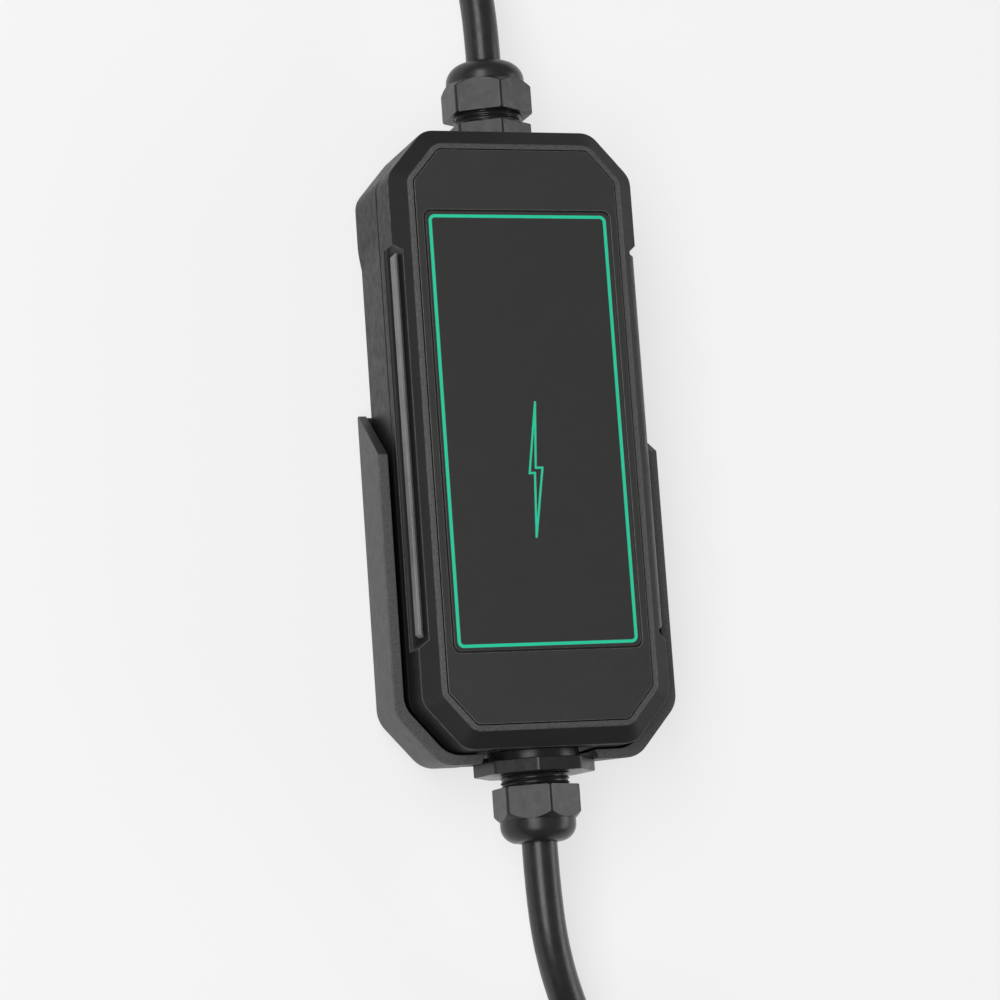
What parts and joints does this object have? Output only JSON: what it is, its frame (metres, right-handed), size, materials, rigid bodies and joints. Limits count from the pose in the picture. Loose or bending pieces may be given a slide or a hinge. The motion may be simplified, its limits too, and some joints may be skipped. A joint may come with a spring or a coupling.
{
  "type": "portable electric vehicle charger",
  "caption": "Black in-cable charging box with eight-sided front and side grips, resting in a wall holder, with a mains lead and plug, and a vehicle lead and connector.",
  "frame": {"origin": "middle of the box's footprint, on the back of the wall holder, on which the part lies", "axes": "+Z out of the box's front, +Y along the box towards the mains lead, +X across it to the right"},
  "size_m": [0.114, 0.8952, 0.093],
  "materials": {
    "housing": "fine moulded texture, black",
    "rib": "coarser moulded texture, dark grey",
    "panel": "fine even texture, black",
    "window": "dark smoked plastic, satin",
    "light": "green light guide",
    "holder": "fine moulded texture, black",
    "gland": "moulded nylon, black, slight sheen",
    "seal": "soft black rubber",
    "steel": "zinc-plated steel",
    "board": "green circuit board",
    "led": "clear light-emitting diodes",
    "component": "black moulded casings",
    "terminal": "green terminal blocks",
    "winding": "taped windings and core",
    "capacitor": "aluminium cans",
    "fuse": "glass tube in clips",
    "cable": "black cable sheath, slight sheen",
    "tie": "woven hook-and-loop strap",
    "plug": "black moulded plastic",
    "pins": "nickel-plated pins",
    "handle": "fine moulded texture, black",
    "nose": "moulded nylon, black",
    "contact": "plated contact sleeves",
    "latch": "black moulded plastic"
  },
  "bodies": {
    "charger": {"rear_shell": "housing", "front_cover": "housing", "side_rib_left": "rib", "side_rib_right": "rib", "front_panel": "panel", "display_window": "window", "light_frame": "light", "bolt_light": "light", "wall_holder": "holder", "mains_gland_body": "gland", "mains_gland_nut": "gland", "mains_gland_locknut": "gland", "vehicle_gland_body": "gland", "vehicle_gland_nut": "gland", "vehicle_gland_locknut": "gland", "vehicle_gland_washer": "gland", "housing_seal": "seal", "mains_gland_seal": "seal", "vehicle_gland_seal": "seal", "cover_screws": "steel", "board_screws": "steel", "latch_pin": "steel", "latch_spring": "steel", "main_board": "board", "display_board": "board", "display_leds": "led", "relays": "component", "control_chips": "component", "board_link": "component", "input_terminal": "terminal", "output_terminal": "terminal", "current_sensor": "winding", "power_transformer": "winding", "filter_capacitors": "capacitor", "fuse": "fuse", "mains_lead_inner": "cable", "vehicle_lead_inner": "cable", "connector_leads": "cable", "mains_cord": "cable", "plug_cord": "cable", "mains_coil": "cable", "vehicle_cord": "cable", "connector_cord": "cable", "vehicle_coil": "cable", "plug_strain_relief": "cable", "connector_strain_relief": "cable", "mains_coil_tie": "tie", "vehicle_coil_tie": "tie", "plug_body": "plug", "plug_pins": "pins", "connector_handle_lower": "handle", "connector_handle_upper": "handle", "connector_nose": "nose", "connector_contacts": "contact"},
    "latch": {"latch_lever": "latch"}
  },
  "joints": [
    {"name": "latch_pivot", "type": "hinge", "parent": "charger", "child": "latch", "pos_m": [0.03602, -0.43791, 0.0715], "axis": [0, 0, 1], "range_deg": [0, 4.5], "stiffness_Nm_per_rad": 0.25, "springref_deg": -8.59}
  ]
}
